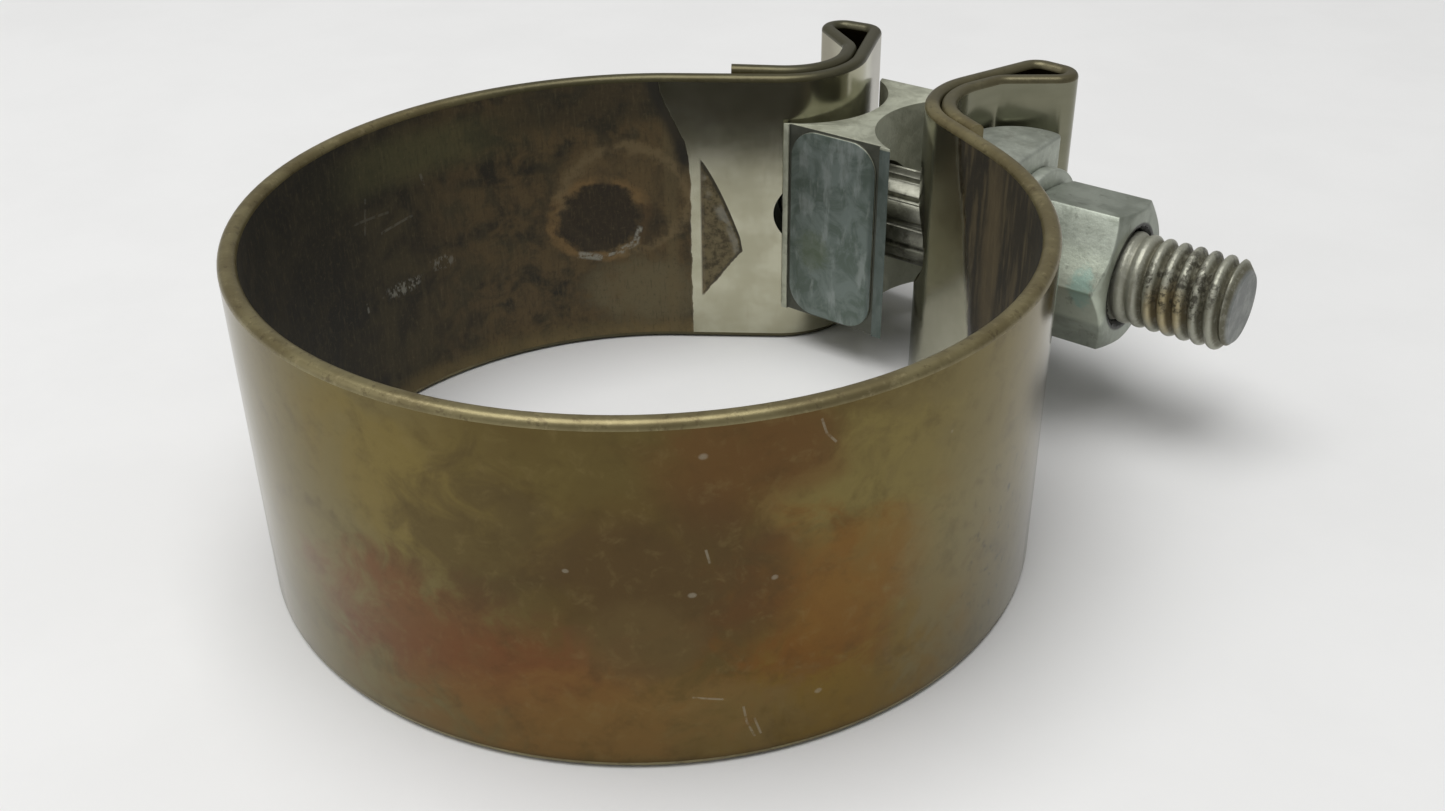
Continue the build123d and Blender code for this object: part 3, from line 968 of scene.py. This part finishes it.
def strap_edge():
    """Sheared strap edge: olive and tan, brighter where rubbed, sooty at the far side and the loops."""
    f = Finish("strap_edge")
    u, _ = f.ring_place()
    x, y, _ = f.split(f.place)
    reach = f.reach(x, y)
    cloud = f.noise(5, 4.0, 0.6)
    fine = f.noise(0.9, 5.0, 0.7)
    colour = f.mix(f.ramp(cloud, 0.4, 0.62), (0.175, 0.143, 0.066), (0.235, 0.200, 0.098))
    colour = f.tint(colour, (0.42, 0.36, 0.20), f.ramp(fine, 0.52, 0.75), 0.4)
    specks = f.ramp(f.noise(0.8, 4.0, 0.7, offset=(0.6, 0.2, 0.1)), 0.56, 0.66)
    colour = f.tint(colour, (0.075, 0.052, 0.024), specks, 0.45)
    far_side = f.both(f.turn_ramp(u, -92, -122), f.between(0.55, 0.85, cloud))
    colour = f.mix(far_side, colour, (0.052, 0.050, 0.024))
    loops = f.both(f.ramp(reach, RING_R + 1.5 * MM, RING_R + 5 * MM), f.between(0.4, 0.8, cloud))
    colour = f.mix(loops, colour, (0.085, 0.082, 0.052))
    rough = f.between(0.30, 0.44, fine)
    return f.finish(colour, rough, 0.6, fine, 0.02)


def zinc(name, light, dark, grime, grime_share, rough=(0.38, 0.62), metallic=0.75):
    """Dull zinc plating: mottled, with grime in patches."""
    f = Finish(name)
    cloud = f.noise(3.2, 5.0, 0.62, twist=0.6)
    fine = f.noise(0.7, 5.0, 0.7)
    colour = f.mix(f.ramp(cloud, 0.36, 0.64), dark, light)
    colour = f.tint(colour, tuple(min(1.0, 1.35 * c) for c in light), f.ramp(fine, 0.48, 0.7), 0.35)
    dirty = f.both(f.ramp(f.noise(2.0, 5.0, 0.65, offset=(0.1, 0.3, 0.6)), 0.52, 0.68), grime_share)
    colour = f.mix(dirty, colour, grime)
    roughness = f.plus(f.between(*rough, cloud), f.both(dirty, 0.2))
    height = f.plus(f.both(fine, 0.7), f.both(cloud, 0.6))
    return f.finish(colour, roughness, metallic, height, 0.05)


def spacer_finish():
    """Blue-grey mottled panel, pale beige-grey ends and lips, and painted shade in the sunk frame."""
    f = Finish("zinc_spacer")
    x, y, z = f.split(f.place)
    cloud = f.noise(3.0, 5.0, 0.62, twist=0.8)
    fine = f.noise(0.7, 5.0, 0.7)
    drag = f.noise(1.4, 4.0, 0.6, stretch=(1, 1, 0.3), offset=(0.2, 0.1, 0.4))
    panel = f.mix(f.ramp(cloud, 0.36, 0.62), (0.125, 0.158, 0.132), (0.215, 0.258, 0.235))
    panel = f.tint(panel, (0.40, 0.44, 0.42), f.ramp(drag, 0.5, 0.68), 0.5)
    border = f.plus(x, f.between(-0.4 * MM, 0.4 * MM, cloud))
    border = f.ramp(border, spacer_high[0] - 2.5 * MM, spacer_high[0] - 1.9 * MM)
    panel = f.tint(panel, (0.075, 0.095, 0.085), border, 0.6)
    grime_at = (spacer_low[0] + 4.2 * MM, -3.2 * MM)
    grime = f.blob(x, z, grime_at, (2.6, 3.0), 1.8, fine)
    panel = f.tint(panel, (0.12, 0.15, 0.075), grime, 0.5)
    body = f.mix(f.ramp(cloud, 0.36, 0.64), (0.42, 0.43, 0.335), (0.56, 0.575, 0.46))
    body = f.tint(body, (0.22, 0.21, 0.15), f.ramp(fine, 0.55, 0.75), 0.4)
    on_face = f.ramp(y, spacer_low[1] + 0.12 * MM, spacer_low[1] + 0.04 * MM)
    in_width = f.both(f.ramp(x, spacer_low[0] + 0.7 * MM, spacer_low[0] + 0.9 * MM),
                      f.ramp(z, spacer_high[2] - 0.15 * MM, spacer_high[2] - 0.35 * MM))
    colour = f.tint(body, panel, on_face, in_width)
    # Painted shade: the sunk frame round the panel darkened for the shadow in its recess.
    recess_shade = f.both(f.ramp(y, spacer_low[1] + 0.15 * MM, spacer_low[1] + 0.25 * MM),
                  f.ramp(y, spacer_low[1] + 0.6 * MM, spacer_low[1] + 0.4 * MM))
    inside = f.both(f.ramp(x, spacer_low[0] + 0.45 * MM, spacer_low[0] + 0.55 * MM),
                    f.ramp(x, spacer_high[0] - 1.25 * MM, spacer_high[0] - 1.35 * MM))
    below_top = f.ramp(z, spacer_high[2] - 0.02 * MM, spacer_high[2] - 0.1 * MM)
    colour = f.tint(colour, (0.030, 0.032, 0.026), f.both(recess_shade, inside), f.both(below_top, 0.85))
    rough = f.between(0.40, 0.66, cloud)
    height = f.plus(f.both(fine, 0.8), f.both(cloud, 0.8))
    return f.finish(colour, rough, 0.7, height, 0.06)


def nut_finish():
    """Pale zinc with a faint green-white bloom, a little teal near one corner, and painted shade in the
    countersunk bore.
    """
    f = Finish("zinc_nut")
    x, y, z = f.split(f.place)
    cloud = f.noise(3.6, 5.0, 0.6, twist=0.5)
    fine = f.noise(0.6, 5.0, 0.7)
    colour = f.mix(f.ramp(cloud, 0.36, 0.64), (0.27, 0.295, 0.245), (0.37, 0.40, 0.34))
    colour = f.tint(colour, (0.27, 0.28, 0.23), f.ramp(fine, 0.52, 0.72), 0.35)
    bloom = f.both(f.ramp(y, BOLT_Y - 5.0 * MM, BOLT_Y - 6.5 * MM), f.ramp(z, -3.4 * MM, -2.6 * MM))
    colour = f.tint(colour, (0.66, 0.72, 0.59), bloom, f.between(0.35, 0.75, cloud))
    teal = f.blob(x, z, (nut_high[0] - 2.0 * MM, 1.0 * MM), (1.6, 2.6), 2.0, fine)
    front = f.ramp(y, BOLT_Y - 4.5 * MM, BOLT_Y - 6.0 * MM)
    colour = f.tint(colour, (0.30, 0.52, 0.46), f.both(teal, front), 0.6)
    scuffs = f.ramp(f.noise(1.6, 4.0, 0.7, stretch=(1, 1, 0.5), offset=(0.3, 0.8, 0.2)), 0.58, 0.68)
    colour = f.tint(colour, (0.13, 0.135, 0.105), scuffs, 0.4)
    # Painted shade: the countersink and bore darkened for the shadow inside them.
    bore = f.off_bolt(y, z)
    colour = f.mix(f.ramp(bore, NUT_BORE_R + 1.0 * MM, NUT_BORE_R + 0.7 * MM), colour, (0.03, 0.03, 0.025))
    rough = f.between(0.34, 0.55, cloud)
    height = f.plus(f.both(fine, 0.7), f.both(cloud, 0.6))
    return f.finish(colour, rough, 0.7, height, 0.05)


def thread_finish():
    """Grey thread with painted shade in its roots, worn bright crests, and gold and brown residue part way
    along.
    """
    f = Finish("thread_steel")
    x, y, z = f.split(f.place)
    fine = f.noise(0.6, 5.0, 0.7)
    cloud = f.noise(2.2, 5.0, 0.65)
    speck = f.noise(0.9, 5.0, 0.75, offset=(0.3, 0.1, 0.7))
    radius = f.off_bolt(y, z)
    # Painted shade in the thread's roots: the colour darkens from crest to root; the crests are worn bright.
    crest = f.ramp(radius, THREAD_R - 0.55 * MM, THREAD_R - 0.1 * MM)
    colour = f.mix(crest, (0.15, 0.143, 0.098), (0.39, 0.39, 0.315))
    colour = f.tint(colour, (0.50, 0.50, 0.43), f.ramp(fine, 0.48, 0.68), f.between(0.3, 0.6, crest))
    middle = bolt_high[0] - 5.6 * MM
    gold = f.blob(x, z, (middle - 0.6 * MM, -0.4 * MM), (2.8, 3.4), 1.5, cloud)
    front = f.ramp(y, BOLT_Y + 0.5 * MM, BOLT_Y - 1.0 * MM)
    residue = f.mix(crest, (0.17, 0.115, 0.038), (0.56, 0.43, 0.185))
    colour = f.tint(colour, residue, f.both(gold, front), f.between(0.35, 0.85, cloud))
    smear = f.blob(x, z, (middle + 0.6 * MM, 2.2 * MM), (5.4, 3.6), 1.8, cloud)
    smear = f.both(smear, f.ramp(speck, 0.46, 0.58))
    colour = f.tint(colour, (0.045, 0.040, 0.026), smear, 0.85)
    end = f.ramp(x, bolt_high[0] - 0.35 * MM, bolt_high[0] - 0.05 * MM)
    colour = f.mix(end, colour, f.mix(f.ramp(cloud, 0.4, 0.65), (0.22, 0.23, 0.22), (0.32, 0.33, 0.31)))
    rough = f.between(0.6, 0.4, crest)
    height = f.plus(fine, f.both(f.both(smear, cloud), 0.8))
    return f.finish(colour, rough, 0.5, height, 0.06)


STRAP_OUTER = strap_outer()
STRAP_INNER = strap_inner()
STRAP_EDGE = strap_edge()
ZINC_BAR = zinc("zinc_bar", (0.47, 0.50, 0.435), (0.38, 0.405, 0.35), (0.16, 0.155, 0.12), 0.35)
ZINC_HEAD = zinc("zinc_head", (0.40, 0.42, 0.39), (0.26, 0.27, 0.25), (0.08, 0.065, 0.045), 0.5)
SHANK_STEEL = zinc("shank_steel", (0.25, 0.25, 0.205), (0.14, 0.14, 0.11), (0.04, 0.037, 0.028), 0.6,
                   (0.3, 0.5), 0.85)
ZINC_SPACER = spacer_finish()
ZINC_NUT = nut_finish()
THREAD_STEEL = thread_finish()

make_strap()
make_bolt()
make_nut()
make_washer()
make_bar("head_side_bar", head_bar_low, head_bar_high, -1, "bolt_assembly", "head_bar")
make_bar("nut_side_bar", nut_bar_low, nut_bar_high, 1, "nut_carriage", "nut_bar")
make_spacer()


# ---------------------------------------------------------------- stage

def make_floor():
    """A wide pale sheet of card with very faint mottling."""
    size = 3.0
    corners = [(-size, -size, FLOOR_Z), (size, -size, FLOOR_Z), (size, size, FLOOR_Z), (-size, size, FLOOR_Z)]
    mesh = mesh_from("floor", corners, [(0, 1, 2, 3)])
    floor = make_object("floor", mesh)
    f = Finish("card")
    cloud = f.noise(25, 4.0, 0.6)
    colour = f.mix(f.ramp(cloud, 0.35, 0.65), (0.82, 0.82, 0.815), (0.84, 0.84, 0.835))
    mesh.materials.append(f.finish(colour, 0.6, 0.0, f.noise(1.5, 3.0), 0.02))


def make_lamp(name, place, size, power):
    """A square soft box that faces the part."""
    light = bpy.data.lights.new(name, "AREA")
    light.size = size
    light.energy = power
    lamp = bpy.data.objects.new(name, light)
    bpy.context.collection.objects.link(lamp)
    lamp.location = place
    lamp.rotation_euler = (-Vector(place)).to_track_quat("-Z", "Y").to_euler()


def make_world():
    world = bpy.data.worlds.new("studio")
    world.use_nodes = True
    background = world.node_tree.nodes["Background"]
    background.inputs["Color"].default_value = (1.0, 1.0, 0.99, 1)
    background.inputs["Strength"].default_value = 0.27
    bpy.context.scene.world = world


def make_camera():
    """The photograph's view: above and in front of the nut side, looking across the ring at the gap."""
    place = Vector((79.42, -93.65, 69.49)) * MM
    heading, pitch, roll = radians(127.13), radians(-31.15), radians(-0.575)
    forward = Vector((cos(pitch) * cos(heading), cos(pitch) * sin(heading), sin(pitch)))
    turn = forward.to_track_quat("-Z", "Y").to_matrix().to_4x4() @ Matrix.Rotation(roll, 4, "Z")
    lens = bpy.data.cameras.new("camera")
    lens.lens = 37.67
    lens.sensor_width = 36
    lens.clip_start = 0.005
    camera = bpy.data.objects.new("camera", lens)
    bpy.context.collection.objects.link(camera)
    camera.matrix_world = Matrix.Translation(place) @ turn
    bpy.context.scene.camera = camera


make_floor()
make_world()
make_lamp("overhead", (-0.06, -0.12, 0.92), 0.8, 8.0)
make_lamp("window", (-0.55, -0.85, 0.50), 0.8, 1.6)
make_camera()
bpy.context.scene.view_settings.view_transform = "Standard"
